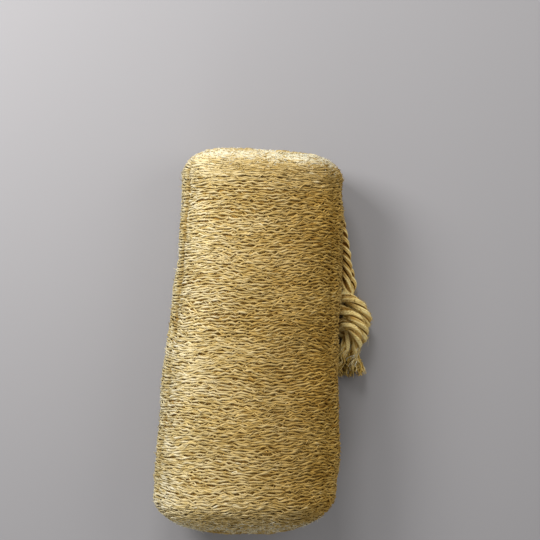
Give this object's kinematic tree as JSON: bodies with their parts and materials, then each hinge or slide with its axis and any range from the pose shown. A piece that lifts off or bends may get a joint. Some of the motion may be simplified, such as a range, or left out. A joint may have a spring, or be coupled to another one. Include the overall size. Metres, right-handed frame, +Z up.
{
  "type": "natural loofah sponge",
  "caption": "Cylindrical natural loofah sponge with an open fibre net, seed channels from end to end, and a knotted hanging loop of twisted cotton cord.",
  "frame": {"origin": "on the surface that the sponge lies on, under the middle of the sponge's box", "axes": "+Y along the sponge towards the end where the cord is threaded, +X to the side where the cord lies, +Z up from the resting face"},
  "size_m": [0.1025, 0.1794, 0.0511],
  "materials": {
    "loofah_fibre": "matt dry plant fibre, straw to tan",
    "cotton_cord": "undyed twisted cotton, frayed at its ends"
  },
  "bodies": {
    "root": {"loofah_body": "loofah_fibre", "cord_loop": "cotton_cord", "cord_knot": "cotton_cord"}
  },
  "joints": []
}
